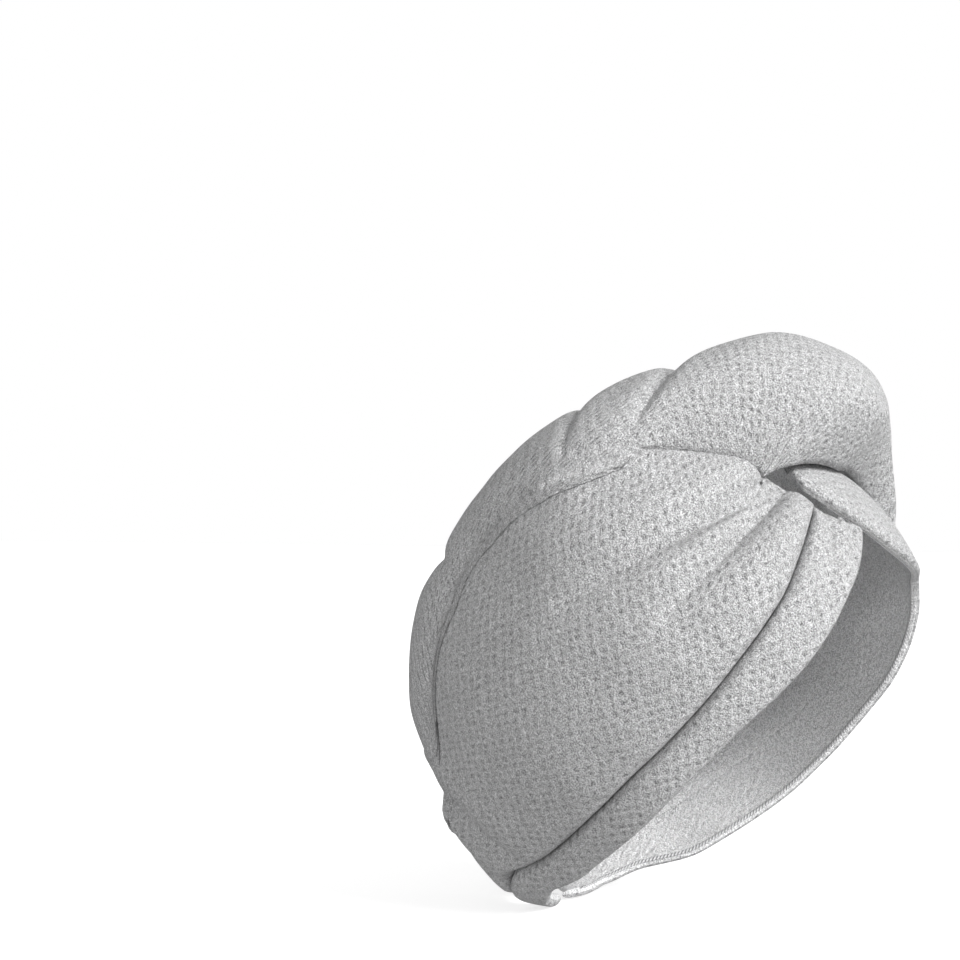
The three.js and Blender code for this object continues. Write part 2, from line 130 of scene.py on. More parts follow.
@dataclass(frozen=True)
class HoodForm:
    """The rounded form of the worn hood, which every piece of it follows."""

    radius: float = 98.0
    nape: tuple = (0.0, 64.0, -220.0)
    brow: tuple = (0.0, -62.0, -20.0)
    gap: float = 0.06
    stations: tuple = (0, 0.03, 0.1, 0.22, 0.43, 0.55, 0.66, 0.74, 0.82, 0.89, 0.94, 0.975, 1)
    places: tuple = (0.022, 0.046, 0.108, 0.22, 0.43, 0.55, 0.66, 0.74, 0.82, 0.89, 0.94, 0.975, 1)
    radii: tuple = (0, 0.245, 0.44, 0.67, 0.94, 0.99, 1, 0.985, 0.93, 0.8, 0.63, 0.43, 0)
    sideways: tuple = (0.9, 0.9, 0.92, 0.93, 0.93, 0.93, 0.93, 0.92, 0.89, 0.84, 0.76, 0.68, 0.6)
    over: tuple = (1, 1.02, 1.05, 1.05, 1, 0.97, 0.96, 0.96, 0.96, 0.96, 0.96, 0.96, 0.96)
    under: tuple = (0.35, 0.42, 0.74, 1, 1, 1, 1, 1, 1, 1, 1, 1, 1)

    @property
    def length(self) -> float:
        """Length of the line from nape to brow."""
        return float(np.linalg.norm(np.subtract(self.brow, self.nape)))

    def round_radius(self, along: np.ndarray) -> np.ndarray:
        """Radius of the form at a share along it, in millimetres."""
        return self.radius * Line(self.stations, self.radii)(along)

    def on_head(self, along: np.ndarray, angle: np.ndarray, side: np.ndarray) -> np.ndarray:
        """Point of the form: the nape, plus the chord times the real place, plus the radius in the direction of the
        angle, flattened sideways, over and under.

        Args:
            along: share from nape to brow.
            angle: degrees from the ear line, 90 on the centre seam.
            side: 1 for the right half, -1 for the left.
        Returns:
            Points in millimetres, one more axis than along.
        """
        along, angle, side = np.broadcast_arrays(along, angle, side)
        chord = np.subtract(self.brow, self.nape)
        axis = chord / np.linalg.norm(chord)
        up = np.array([0, axis[2], -axis[1]])
        turn, r = np.radians(angle), self.round_radius(along)
        high = np.where(np.sin(turn) > 0, Line(self.stations, self.over)(along), Line(self.stations, self.under)(along))
        flat = Line(self.stations, self.sideways)(along)
        return (
            np.array(self.nape)
            + Line(self.stations, self.places)(along)[..., None] * chord
            + (high * r * np.sin(turn))[..., None] * up
            - (side * flat * r * np.cos(turn))[..., None] * np.array([1.0, 0, 0])
        )

    def outward(self, along: np.ndarray, angle: np.ndarray, side: np.ndarray) -> np.ndarray:
        """Unit normal of the form: the cross of its two slopes, turned away from the middle of the head."""
        s = np.clip(along, 0.002, 0.998)
        a = self.on_head(s + 1e-3, angle, side) - self.on_head(s - 1e-3, angle, side)
        b = self.on_head(s, angle + 0.1, side) - self.on_head(s, angle - 0.1, side)
        n = np.cross(a, b)
        n /= np.linalg.norm(n, axis=-1, keepdims=True) + 1e-12
        middle = np.array(self.nape) + 0.55 * np.subtract(self.brow, self.nape)
        away = np.sum(n * (self.on_head(along, angle, side) - middle), -1, keepdims=True)
        return np.where(away < 0, -n, n)

    def place(self, along: np.ndarray, angle: np.ndarray, height: np.ndarray, side: np.ndarray) -> np.ndarray:
        """Point at a height over the form, half a gap to its own side of the centre."""
        p = self.on_head(along, angle, side) + np.asarray(height)[..., None] * self.outward(along, angle, side)
        p[..., 0] -= side * self.gap / 2
        return p


FORM = HoodForm()


@dataclass(frozen=True)
class Border:
    """Border of a cloth piece as a line on the form. run is the share of it from the nape to its front end."""

    run: tuple
    along: tuple
    angle: tuple

    def spot(self, run: np.ndarray) -> tuple[np.ndarray, np.ndarray]:
        """Share along the form and angle at each run."""
        return Line(self.run, self.along)(run), Line(self.run, self.angle)(run)


RUN = (0, 0.05, 0.1, 0.17, 0.27, 0.37, 0.47, 0.57, 0.66, 0.74, 0.82, 0.89, 0.95, 1)
RIM = Border(
    RUN,
    (0.038, 0.056, 0.08, 0.139, 0.238, 0.329, 0.428, 0.527, 0.618, 0.702, 0.774, 0.847, 0.911, 0.955),
    (-89, -62, -40, -30, -31, -32.6, -34.1, -36.3, -39.2, -42.9, -45.8, -48.7, -53.9, -59),
)
CREASE = Border(
    RUN,
    (0.002, 0.04, 0.094, 0.15, 0.242, 0.34, 0.44, 0.54, 0.64, 0.725, 0.79, 0.852, 0.911, 0.957),
    (0, 0, -3.4, -11.5, -17.3, -20.6, -23.2, -26.3, -28.8, -30.4, -31.6, -32.4, -32.4, -33),
)
LEFT_RIM = Border(
    (0, 0.04, 0.08, 0.136, 0.216, 0.296, 0.376, 0.456, 0.528, 0.592, 0.656, 0.712, 0.76, 0.8, 0.87, 0.94, 1),
    (
        0.038, 0.056, 0.08, 0.139, 0.238, 0.329, 0.428, 0.527, 0.618,
        0.702, 0.774, 0.84, 0.885, 0.918, 0.944, 0.962, 0.969,
    ),
    (-89, -74, -50, -40, -42, -42, -42.5, -44, -46, -48, -48.5, -49.5, -54, -70, -95, -122, -154),
)
LEFT_SIDE_CREASE = Border(RUN, CREASE.along, CREASE.angle[:11] + (-30, -25, -18))
LEFT_CREASE = Border(
    tuple(0.8 * r for r in RUN) + (0.84, 0.88, 0.92, 0.96, 1),
    CREASE.along + (0.965, 0.988, 0.994, 0.99, 0.984),
    LEFT_SIDE_CREASE.angle + (-20, -45, -95, -138, -171),
)
SEAM = Border(RUN, tuple(s + 0.012 * float(ease(np.float64(s))) for s in CREASE.along), (90,) * len(RUN))
UPPER_EDGE = Line(
    (0, 0.1, 0.19, 0.3, 0.47, 0.58, 0.7, 0.8, 0.866, 0.9, 0.934, 0.95, 1),
    (62, 50, 50, 47.5, 49, 51, 46.4, 37.2, 26, 17, 4, -12, -40),
)
STAND_OFF = Line((0, 0.06, 0.14, 0.22, 0.5, 0.8, 0.9, 0.94, 1), (5, 7.5, 8.5, 9.5, 10.5, 10.5, 11, 10.5, 6))


@dataclass(frozen=True)
class Cloth:
    """Sizes of the waffle terry: its thickness, and how far its inner face stays off the head."""

    thick: float = 3.0
    rest: float = 0.4


CLOTH = Cloth()


FOLD_POINTS = 49


@dataclass(frozen=True)
class Fold:
    """Fold pressed into the cloth along a bent line through three places on the form.

    deep_start and deep_end are its depth at both ends, and a depth below 0 is a puff. wide is its half width, and
    keen how flat its bottom is: near 1 it is a crease, and 2 gives a soft hollow.
    """

    start: tuple
    bend: tuple
    end: tuple
    deep_start: float
    deep_end: float
    wide: float
    keen: float = 2.0

    def depth(self, along: np.ndarray, angle: np.ndarray) -> np.ndarray:
        """Depth at each place: the depth along the line times exp(-(distance / wide) ** keen), with the line a
        quadratic curve whose nearest point of a set counts.

        Args:
            along: share along the form.
            angle: angle round it.
        Returns:
            Depth in millimetres.
        """
        s = np.linspace(0, 1, FOLD_POINTS)[:, None]
        path = (1 - s) ** 2 * np.array(self.start) + 2 * (1 - s) * s * np.array(self.bend) + s**2 * np.array(self.end)
        arc = np.radians(1) * FORM.round_radius(along)
        best, at = np.full(along.shape, 1e9), np.zeros(along.shape)
        for share, (t, a) in zip(s[:, 0], path):
            far = np.hypot((along - t) * FORM.length, (angle - a) * arc)
            nearer = far < best
            best, at = np.where(nearer, far, best), np.where(nearer, share, at)
        deep = self.deep_start + (self.deep_end - self.deep_start) * at**0.6
        return deep * np.exp(-((best / self.wide) ** self.keen))


@dataclass(frozen=True)
class ClothFinish:
    """Waffle terry: a staggered field of small pits in a pile of fine loops, uneven in colour, with a soft sheen. Its
    colour is darker in each pit, as painted shade.
    """

    name: str
    colour: tuple = (0.55, 0.55, 0.555)
    pitch: float = 3.9
    pit: float = 0.8
    # How much darker the colour is in each pit: painted shade in the hollows.
    shade: float = 0.26
    speckle: float = 0.85
    loops: float = 1.0

    def material(self) -> bpy.types.Material:
        """Cloth material. Pits come from a jittered grid on the piece's own UV map, which is in millimetres, and
        loops and patches from noise on Object coordinates; both drive colour and bump. The darker colour in each pit
        is painted shade."""
        made = bpy.data.materials.get(self.name)
        if made:
            return made
        made = bpy.data.materials.new(self.name)
        made.use_nodes = True
        tree = made.node_tree
        shader = tree.nodes["Principled BSDF"]
        shader.inputs["Roughness"].default_value = 0.95
        shader.inputs["Specular IOR Level"].default_value = 0.15
        shader.inputs["Sheen Weight"].default_value = 0.12
        shader.inputs["Sheen Roughness"].default_value = 0.6

        def node(kind: str, **values: object) -> bpy.types.Node:
            """New node of a kind, with these properties set."""
            n = tree.nodes.new(kind)
            for key, value in values.items():
                setattr(n, key, value)
            return n

        def maths(operation: str, a: object, b: object) -> bpy.types.NodeSocket:
            """Result of one sum of two sockets or numbers."""
            n = node("ShaderNodeMath", operation=operation)
            for slot, value in zip(n.inputs, (a, b)):
                if isinstance(value, (int, float)):
                    slot.default_value = value
                else:
                    tree.links.new(value, slot)
            return n.outputs[0]

        def spread(source: object, low: float, high: float, to_low: float, to_high: float) -> bpy.types.NodeSocket:
            """Smooth step of a socket from one range to another."""
            n = node("ShaderNodeMapRange", interpolation_type="SMOOTHSTEP")
            tree.links.new(source, n.inputs["Value"])
            for key, value in (("From Min", low), ("From Max", high), ("To Min", to_low), ("To Max", to_high)):
                n.inputs[key].default_value = value
            return n.outputs[0]

        uv = node("ShaderNodeUVMap", uv_map="cloth").outputs["UV"]
        space = node("ShaderNodeTexCoord").outputs["Object"]
        waffle = node("ShaderNodeTexVoronoi", voronoi_dimensions="2D", feature="F1")
        waffle.inputs["Scale"].default_value = 1 / self.pitch
        waffle.inputs["Randomness"].default_value = 0.32
        lay = node("ShaderNodeMapping")
        lay.inputs["Rotation"].default_value = (0, 0, math.radians(38))
        lay.inputs["Scale"].default_value = (0.86, 1.12, 1)
        tree.links.new(uv, lay.inputs["Vector"])
        tree.links.new(lay.outputs["Vector"], waffle.inputs["Vector"])
        hollow = spread(waffle.outputs["Distance"], 0.04, 0.46, 1.0, 0.0)

        loop = node("ShaderNodeTexNoise")
        loop.inputs["Scale"].default_value = 1500
        loop.inputs["Detail"].default_value = 2.0
        loop.inputs["Roughness"].default_value = 0.7
        tree.links.new(space, loop.inputs["Vector"])
        pile = spread(loop.outputs["Fac"], 0.32, 0.68, 0.0, 1.0)
        tuft = node("ShaderNodeTexNoise")
        tuft.inputs["Scale"].default_value = 420
        tuft.inputs["Detail"].default_value = 2.0
        tree.links.new(space, tuft.inputs["Vector"])
        clump = spread(tuft.outputs["Fac"], 0.3, 0.7, 0.0, 1.0)
        patch = node("ShaderNodeTexNoise")
        patch.inputs["Scale"].default_value = 60
        patch.inputs["Detail"].default_value = 3.0
        tree.links.new(space, patch.inputs["Vector"])

        hollow = maths("MULTIPLY", hollow, spread(patch.outputs["Fac"], 0.25, 0.75, 0.55, 1.25))
        # Painted shade: the colour is darkened in each pit of the waffle.
        light = maths("SUBTRACT", 1.0 + self.speckle / 2, maths("MULTIPLY", hollow, self.shade))
        light = maths("SUBTRACT", light, maths("MULTIPLY", pile, self.speckle))
        light = maths("ADD", light, spread(tuft.outputs["Fac"], 0.3, 0.7, -0.05, 0.05))
        light = maths("ADD", light, spread(patch.outputs["Fac"], 0.3, 0.7, -0.03, 0.03))
        tint = node("ShaderNodeMix", data_type="RGBA", blend_type="MULTIPLY")
        tint.inputs["Factor"].default_value = 1.0
        tint.inputs["A"].default_value = (*self.colour, 1)
        tree.links.new(light, tint.inputs["B"])
        tree.links.new(tint.outputs["Result"], shader.inputs["Base Color"])

        high = maths("MULTIPLY", hollow, -self.pit)
        high = maths("ADD", high, maths("MULTIPLY", pile, -self.loops * 0.5))
        high = maths("ADD", high, maths("MULTIPLY", clump, self.loops * 0.5))
        bump = node("ShaderNodeBump")
        bump.inputs["Strength"].default_value = 1.0
        bump.inputs["Distance"].default_value = MM
        tree.links.new(high, bump.inputs["Height"])
        tree.links.new(bump.outputs["Normal"], shader.inputs["Normal"])
        return made


@dataclass(frozen=True)
class ThreadFinish:
    """Overlock thread: fine slanting stitches across a narrow band, in the cloth's own grey."""

    name: str = "overlock_thread"
    colour: tuple = (0.56, 0.56, 0.565)
    stitch: float = 1.5

    def material(self) -> bpy.types.Material:
        """Thread material: a wave along the piece's UV map, in millimetres, shades and lifts each stitch."""
        made = bpy.data.materials.new(self.name)
        made.use_nodes = True
        tree = made.node_tree
        shader = tree.nodes["Principled BSDF"]
        shader.inputs["Roughness"].default_value = 0.8
        shader.inputs["Specular IOR Level"].default_value = 0.2
        uv = tree.nodes.new("ShaderNodeUVMap")
        uv.uv_map = "cloth"
        turn = tree.nodes.new("ShaderNodeMapping")
        turn.inputs["Rotation"].default_value = (0, 0, math.radians(28))
        wave = tree.nodes.new("ShaderNodeTexWave")
        wave.inputs["Scale"].default_value = 1 / self.stitch / 3.2
        wave.inputs["Distortion"].default_value = 1.0
        wave.inputs["Detail"].default_value = 2.0
        ramp = tree.nodes.new("ShaderNodeValToRGB")
        ramp.color_ramp.elements[0].color = (*(0.78 * c for c in self.colour), 1)
        ramp.color_ramp.elements[1].color = (*(1.08 * c for c in self.colour), 1)
        bump = tree.nodes.new("ShaderNodeBump")
        bump.inputs["Distance"].default_value = 0.4 * MM
        tree.links.new(uv.outputs["UV"], turn.inputs["Vector"])
        tree.links.new(turn.outputs["Vector"], wave.inputs["Vector"])
        tree.links.new(wave.outputs["Fac"], ramp.inputs["Fac"])
        tree.links.new(ramp.outputs["Color"], shader.inputs["Base Color"])
        tree.links.new(wave.outputs["Fac"], bump.inputs["Height"])
        tree.links.new(bump.outputs["Normal"], shader.inputs["Normal"])
        return made


@dataclass(frozen=True)
class ButtonFinish:
    """Matte moulded button with a faint mottle."""

    name: str = "matte_button"
    colour: tuple = (0.62, 0.62, 0.63)

    def material(self) -> bpy.types.Material:
        """Button material: noise on Object coordinates varies colour and roughness a little."""
        made = bpy.data.materials.new(self.name)
        made.use_nodes = True
        tree = made.node_tree
        shader = tree.nodes["Principled BSDF"]
        noise = tree.nodes.new("ShaderNodeTexNoise")
        noise.inputs["Scale"].default_value = 300
        space = tree.nodes.new("ShaderNodeTexCoord")
        ramp = tree.nodes.new("ShaderNodeValToRGB")
        ramp.color_ramp.elements[0].color = (*(0.92 * c for c in self.colour), 1)
        ramp.color_ramp.elements[1].color = (*(1.05 * c for c in self.colour), 1)
        tree.links.new(space.outputs["Object"], noise.inputs["Vector"])
        tree.links.new(noise.outputs["Fac"], ramp.inputs["Fac"])
        tree.links.new(ramp.outputs["Color"], shader.inputs["Base Color"])
        shader.inputs["Roughness"].default_value = 0.55
        return made


OUTSIDE = ClothFinish("waffle_terry_outside")
# Inner face: shallower pits, and a colour much paler than the outside's, which is painted light on the shaded inside of
# the hood.
INSIDE_PAINTED_LIGHT = ClothFinish("waffle_terry_inside_painted_light", colour=(0.88, 0.88, 0.885), pit=0.35, shade=0.1, speckle=0.7)


def shell(name: str, outer: np.ndarray, inner: np.ndarray, cloth: np.ndarray, finishes: tuple) -> bpy.types.Object:
    """Closed mesh from two grids of the same size that share their border points.

    Args:
        name: the piece's name.
        outer: points of the outer face in millimetres, rows by columns by 3.
        inner: points of the inner face; its border is taken from outer.
        cloth: UV of both faces in millimetres, rows by columns by 2.
        finishes: the outer and the inner finish.
    Returns:
        The new object, at the origin, with its faces outward.
    """
    rows, columns = outer.shape[:2]
    top = np.arange(rows * columns).reshape(rows, columns)
    low = top.copy()
    low[1:-1, 1:-1] = rows * columns + np.arange((rows - 2) * (columns - 2)).reshape(rows - 2, columns - 2)
    points = np.concatenate([outer.reshape(-1, 3), inner[1:-1, 1:-1].reshape(-1, 3)]) * MM

    def quads(index: np.ndarray) -> np.ndarray:
        """Corner indices of every cell of a grid of indices."""
        return np.stack([index[:-1, :-1], index[1:, :-1], index[1:, 1:], index[:-1, 1:]], -1).reshape(-1, 4)

    up, down = quads(top), quads(low)[:, ::-1]
    faces = np.concatenate([up, down])
    a, b, c, d = (points[faces[:, k]] for k in range(4))
    volume = (a * np.cross(b, c)).sum() + (a * np.cross(c, d)).sum()
    flat = cloth.reshape(-1, 2)
    corner = np.concatenate([up, quads(top)[:, ::-1]])
    if volume < 0:
        faces, corner = faces[:, ::-1], corner[:, ::-1]
    mesh = bpy.data.meshes.new(name)
    mesh.from_pydata(points, [], faces.tolist())
    mesh.uv_layers.new(name="cloth").data.foreach_set("uv", flat[corner.ravel()].ravel().astype(np.float32))
    mesh.polygons.foreach_set("use_smooth", np.ones(len(faces), bool))
    for finish in finishes:
        mesh.materials.append(finish.material())
    slots = np.repeat([0, len(finishes) - 1], [len(up), len(down)]).astype(np.int32)
    mesh.polygons.foreach_set("material_index", slots)
    mesh.update()
    piece = bpy.data.objects.new(name, mesh)
    bpy.context.scene.collection.objects.link(piece)
    return piece


def gone(points: np.ndarray, axis: int) -> np.ndarray:
    """Distance gone along one axis of a grid of points, from 0, in millimetres."""
    step = np.linalg.norm(np.diff(points, axis=axis), axis=-1)
    start = np.zeros_like(np.take(step, [0], axis=axis))
    return np.concatenate([start, np.cumsum(step, axis=axis)], axis=axis)


@dataclass
class Strip:
    """Strip of the hood's cloth between two borders.

    rows and columns are its grid, hold and flat are not used, turn the weave's direction in degrees, and fine how much
    the columns crowd to the lower border. inset is the gap to each border. seat_low and seat_high are where in the
    wall, from 0 inside to 1 outside, the edge at each border lies.
    """

    name: str
    side: Side
    lower: Border
    upper: Border
    rows: int
    columns: int
    hold: Hold
    flat: tuple
    turn: float = 0.0
    fine: float = 0.55
    inset: float = 0.08
    seat_low: float = 0.05
    seat_high: float = 0.5

    def heights(self, along: np.ndarray, angle: np.ndarray, low: np.ndarray, high: np.ndarray, p: np.ndarray) -> tuple:
        """Outer and inner height over the head.

        Args:
            along: share along the form.
            angle: angle round it.
            low: distance from the lower border.
            high: distance from the upper border.
            p: the points on the head.
        Returns:
            The two arrays of heights.
        """
        raise NotImplementedError

    def grid(self) -> tuple[np.ndarray, np.ndarray]:
        """Places of the grid: run goes evenly, and columns lie at even distances with some more close to both
        borders and the larger part of them on the side of the lower border."""
        run = np.linspace(0, 1, self.rows)[:, None]
        run = run - 0.012 * np.sin(2 * np.pi * run)
        low, high = self.lower.spot(run), self.upper.spot(run)
        fine = np.linspace(0, 1, 161)[None, :]
        along, angle = (low[k] + (high[k] - low[k]) * fine for k in (0, 1))
        way = gone(FORM.on_head(along, angle, self.side.value), 1)
        wide = way[:, -1:]
        rest = self.columns - 8
        even = np.linspace(0, 1, rest) ** (1.0 if self.fine <= 0.5 else 1.0 + (self.fine - 0.5))
        edge = np.array([0, 0.35, 0.9, 1.7])
        clear = wide - 2 * self.inset
        inner = 2.6 * np.minimum(1, clear / 30)
        d = np.concatenate(
            [
                edge * np.minimum(1, clear / 30),
                inner + (clear - 2 * inner) * even[None, :],
                clear - edge[::-1] * np.minimum(1, clear / 30),
            ],
            axis=1,
        )
        d = d + self.inset
        share = np.stack([np.interp(x, w, fine[0]) for x, w in zip(d, way)])
        return low[0] + (high[0] - low[0]) * share, low[1] + (high[1] - low[1]) * share

    def build(self) -> bpy.types.Object:
        """Closed strip: both faces lie at their heights, and meet in a half round at every border."""
        along, angle = self.grid()
        base = FORM.on_head(along, angle, self.side.value)
        across, forward = gone(base, 1), gone(base, 0)
        low, high = across, across[:, -1:] - across
        end = np.minimum(forward, forward[-1:, :] - forward)
        end = np.minimum(end, np.linspace(0, 60, self.rows)[:, None])
        end = np.minimum(end, np.linspace(60, 0, self.rows)[:, None])
        outer, inner = self.heights(along, angle, low, high, base)
        near = np.minimum(np.minimum(low, high), end * 1.5)
        round_off = np.sqrt(1 - (1 - np.clip(near / (0.5 * (outer - inner) + 0.01), 0, 1)) ** 2)
        pivot = inner + np.where(low < high, self.seat_low, self.seat_high) * (outer - inner)
        half = self.side.value
        faces = [FORM.place(along, angle, pivot + (h - pivot) * round_off, half) for h in (outer, inner)]
        spin = np.radians(self.turn)
        line = forward[:, forward.shape[1] // 3][:, None] + 0 * low
        cloth = np.stack([line * np.cos(spin) - low * np.sin(spin), line * np.sin(spin) + low * np.cos(spin)], -1)
        piece = shell(self.name, faces[0], faces[1], cloth, (OUTSIDE, INSIDE_PAINTED_LIGHT))
        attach(piece, "root")
        return piece

    def dress(self, nodes: tuple) -> bpy.types.Object:
        piece = self.build()
        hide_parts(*nodes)
        return piece


@dataclass
class Panel(Strip):
    """Half of the hood: it stands off the head, is rolled under beside the tail and runs on flat to the seam."""

    folds: tuple = ()
    pillow: float = 12.0

    def heights(self, along: np.ndarray, angle: np.ndarray, low: np.ndarray, high: np.ndarray, p: np.ndarray) -> tuple:
        """Stand-off times a quarter round at the crease, at the tail and at the twist, less the folds. The wall is
        thicker at the gathers of the nape, where the cloth is bunched, so its inner face stays smooth there."""
        flat = CLOTH.rest + CLOTH.thick
        wave = 0.9 * ripple(p, 26, 3) * ease((0.9 - along) / 0.2)
        to_tail = (UPPER_EDGE(along) - angle) * np.radians(1) * FORM.round_radius(along) + 5 + wave
        to_twist = (0.975 - along) * FORM.length
        rise = (STAND_OFF(along) - flat) * dome(0.25 + low / self.pillow) * dome(to_tail / 7) * dome(0.4 + to_twist / 9)
        rise = rise + (0.45 * ripple(p, 60, 5) + 0.22 * ripple(p, 24, 6)) * ease(rise / 5) * ease(low / 10)
        for fold in self.folds:
            rise = rise - fold.depth(along, angle) * ease(rise / 4)
        outer = flat + np.maximum(rise, 0)
        rolled = np.exp(-((np.maximum(to_tail, -4) / 7) ** 2)) * ease(rise / 4)
        inner = outer - CLOTH.thick - rolled * np.maximum(outer - flat, 0)
        return outer, CLOTH.rest + (inner - CLOTH.rest) * ease(low / 45) * ease((along - 0.2) / 0.15)


@dataclass
class Brim(Strip):
    """Rolled front border of a half, between the long crease and the face opening."""

    roll: float = 7.0
    folds: tuple = ()
    seat_low: float = 0.5
    seat_high: float = 0.05

    def heights(self, along: np.ndarray, angle: np.ndarray, low: np.ndarray, high: np.ndarray, p: np.ndarray) -> tuple:
        """Doubled cloth: a low dome between both borders, less the folds."""
        thick = CLOTH.thick + (self.roll - CLOTH.thick) * ease(0.3 + along / 0.15)
        over = (thick - CLOTH.thick) * dome(0.35 + low / 9) * dome(0.2 + high / 9)
        over = over + 0.25 * ripple(p, 30, 8) * ease(low / 6) * ease(high / 6)
        for fold in self.folds:
            over = over - fold.depth(along, angle)
        outer = CLOTH.rest + CLOTH.thick + np.maximum(over, -1.5)
        return outer, np.full_like(outer, CLOTH.rest)


@dataclass
class RimOverlock:
    """Overlocked edge on the inside of a rim: a narrow raised band of thread.

    band is its width, thick its height, and start and end are its ends as shares of the rim.
    """

    name: str
    side: Side
    border: Border
    inner: Border
    band: float = 2.6
    thick: float = 0.5
    start: float = 0.04
    end: float = 0.97

    def build(self) -> bpy.types.Object:
        """Band that follows the rim on the inner face of the cloth, a low dome in section with stitches that rise
        along it in a wave."""
        run = np.linspace(self.start, self.end, 700)[:, None]
        low, high = self.border.spot(run), self.inner.spot(run)
        fine = np.linspace(0, 1, 60)[None, :]
        along, angle = (low[k] + (high[k] - low[k]) * fine for k in (0, 1))
        way = gone(FORM.on_head(along, angle, self.side.value), 1)
        d = np.linspace(0.25, self.band, 9)[None, :] * np.ones_like(run)
        share = np.stack([np.interp(x, w, fine[0]) for x, w in zip(d, way)])
        along, angle = (low[k] + (high[k] - low[k]) * share for k in (0, 1))
        base = FORM.on_head(along, angle, self.side.value)
        forward = gone(base, 0)
        across = np.linspace(-1, 1, 9)[None, :]
        dip = self.thick * np.sqrt(1 - across**2) * (0.92 + 0.08 * np.sin(2 * np.pi * forward / 1.6 + across))
        top = np.full_like(dip, CLOTH.rest + 0.35)
        outer = FORM.place(along, angle, top, self.side.value)
        inner = FORM.place(along, angle, top - dip - 0.2 * np.sqrt(1 - across**2), self.side.value)
        cloth = np.stack([forward, d], -1)
        piece = shell(self.name, outer, inner, cloth, (ThreadFinish(self.name + "_thread"),))
        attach(piece, "root")
        return piece


